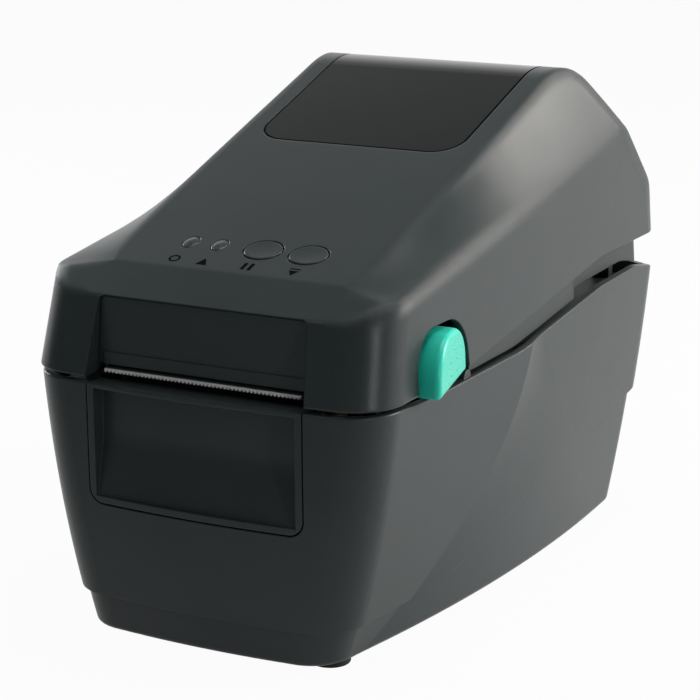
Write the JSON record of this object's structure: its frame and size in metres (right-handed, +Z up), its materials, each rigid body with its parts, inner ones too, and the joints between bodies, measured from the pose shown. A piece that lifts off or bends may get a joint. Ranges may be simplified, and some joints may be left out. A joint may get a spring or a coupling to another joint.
{
  "type": "thermal label printer",
  "caption": "Compact desktop thermal label printer: hinged wedge-shaped cover with smoked window, side latches, tear bar at a front label exit, roll bay with coupled guides, rubber feet.",
  "frame": {"origin": "middle of the footprint, on the surface that the feet stand on", "axes": "+Z up, -Y towards the front where labels come out, +X to the right for a user at the front"},
  "size_m": [0.1252, 0.2202, 0.151],
  "materials": {
    "body_plastic": "fine satin grain",
    "tray_plastic": "fine satin grain",
    "liner_plastic": "satin",
    "button_plastic": "satin",
    "lamp_lens": "frosted",
    "smoked_window": "smoked, glossy",
    "latch_plastic": "semi-gloss mint",
    "steel": "plated",
    "spring_steel": "bright wire",
    "head_ceramic": "glazed",
    "aluminium": "as extruded",
    "bearing_brass": "turned",
    "platen_rubber": "ground",
    "foot_rubber": "matt",
    "gear_plastic": "moulded",
    "guide_plastic": "satin mint",
    "board": "solder mask",
    "black_plastic": "satin"
  },
  "bodies": {
    "base": {"base_shell": "body_plastic", "bottom_tray": "tray_plastic", "front_panel": "body_plastic", "rubber_feet": "foot_rubber", "tray_screws": "steel", "side_frame_left": "steel", "side_frame_right": "steel", "catch_pin_left": "steel", "catch_pin_right": "steel", "bearing_left": "bearing_brass", "bearing_right": "bearing_brass", "idler_post": "steel", "motor": "steel", "media_well": "liner_plastic", "media_path": "steel", "main_board": "board", "port_panel": "black_plastic", "power_inlet": "black_plastic", "data_port": "steel", "switch_body": "black_plastic", "hinge_knuckle_left": "liner_plastic", "hinge_knuckle_right": "liner_plastic"},
    "cover": {"cover_shell": "body_plastic", "cover_window": "smoked_window", "cover_liner": "liner_plastic", "head_panel": "body_plastic", "tear_bar": "steel", "lamp_power": "lamp_lens", "lamp_data": "lamp_lens", "button_board": "board", "head_frame": "steel", "head_pivot": "steel", "head_spring_left": "spring_steel", "head_spring_right": "spring_steel", "hinge_ear_left": "liner_plastic", "hinge_ear_right": "liner_plastic", "hinge_pin_left": "steel", "hinge_pin_right": "steel"},
    "latch": {"latch_tab_left": "latch_plastic", "latch_tab_right": "latch_plastic", "latch_shaft": "steel", "latch_hook_left": "steel", "latch_hook_right": "steel", "latch_spring": "spring_steel"},
    "head": {"print_head": "head_ceramic", "heat_sink": "aluminium", "head_bracket": "steel"},
    "pause": {"button_pause": "button_plastic"},
    "feed": {"button_feed": "button_plastic"},
    "platen": {"platen_shaft": "steel", "platen_roller": "platen_rubber", "platen_gear": "gear_plastic"},
    "idler": {"idler_gear": "gear_plastic"},
    "pinion": {"motor_pinion": "bearing_brass"},
    "left_guide": {"guide_left": "guide_plastic"},
    "right_guide": {"guide_right": "guide_plastic"},
    "guide_gear": {"guide_pinion": "gear_plastic"},
    "sensor": {"gap_sensor": "black_plastic"},
    "rocker": {"switch_rocker": "black_plastic"}
  },
  "joints": [
    {"name": "cover_hinge", "type": "hinge", "parent": "base", "child": "cover", "pos_m": [0, 0.1015, 0.089], "axis": [-1, 0, 0], "range_deg": [0, 80]},
    {"name": "latch_pivot", "type": "hinge", "parent": "cover", "child": "latch", "pos_m": [0, -0.072, 0.0895], "axis": [-1, 0, 0], "range_deg": [0, 6], "stiffness_Nm_per_rad": 0.6, "springref_deg": -5.73},
    {"name": "head_pivot", "type": "hinge", "parent": "cover", "child": "head", "pos_m": [0, -0.0645, 0.0848], "axis": [-1, 0, 0], "range_deg": [0, 1.5], "stiffness_Nm_per_rad": 20, "springref_deg": -2.86, "deforming": ["head_spring_left", "head_spring_right"]},
    {"name": "pause_press", "type": "slide", "parent": "cover", "child": "pause", "axis": [0, 0.3134, -0.9496], "range_m": [0, 0.001], "stiffness_N_per_m": 900, "springref_m": -0.0008},
    {"name": "feed_press", "type": "slide", "parent": "cover", "child": "feed", "axis": [0, 0.3134, -0.9496], "range_m": [0, 0.001], "stiffness_N_per_m": 900, "springref_m": -0.0008},
    {"name": "platen_spin", "type": "hinge", "parent": "base", "child": "platen", "pos_m": [0, -0.092, 0.0695], "axis": [1, 0, 0], "continuous": true},
    {"name": "idler_spin", "type": "hinge", "parent": "base", "child": "idler", "pos_m": [0, -0.0792, 0.04733], "axis": [1, 0, 0], "continuous": true},
    {"name": "pinion_spin", "type": "hinge", "parent": "base", "child": "pinion", "pos_m": [0, -0.0662, 0.03008], "axis": [1, 0, 0], "continuous": true},
    {"name": "guide_slide", "type": "slide", "parent": "base", "child": "left_guide", "axis": [1, 0, 0], "range_m": [0, 0.022]},
    {"name": "guide_slide_right", "type": "slide", "parent": "base", "child": "right_guide", "axis": [-1, 0, 0], "range_m": [0, 0.022]},
    {"name": "guide_gear_spin", "type": "hinge", "parent": "base", "child": "guide_gear", "pos_m": [0, 0.024, 0.008], "axis": [0, 0, 1], "range_deg": [-253, 0.5]},
    {"name": "sensor_slide", "type": "slide", "parent": "base", "child": "sensor", "axis": [1, 0, 0], "range_m": [-0.016, 0.016]},
    {"name": "switch_rock", "type": "hinge", "parent": "base", "child": "rocker", "pos_m": [0, 0.099, 0.056], "axis": [1, 0, 0], "range_deg": [0, 14]}
  ],
  "couplings": [
    {"joint": "idler_spin", "follows": "platen_spin", "ratio": -0.6},
    {"joint": "pinion_spin", "follows": "platen_spin", "ratio": 1.7143},
    {"joint": "guide_slide_right", "follows": "guide_slide", "ratio": 1},
    {"joint": "guide_gear_spin", "follows": "guide_slide", "rad_per_m": -200}
  ]
}
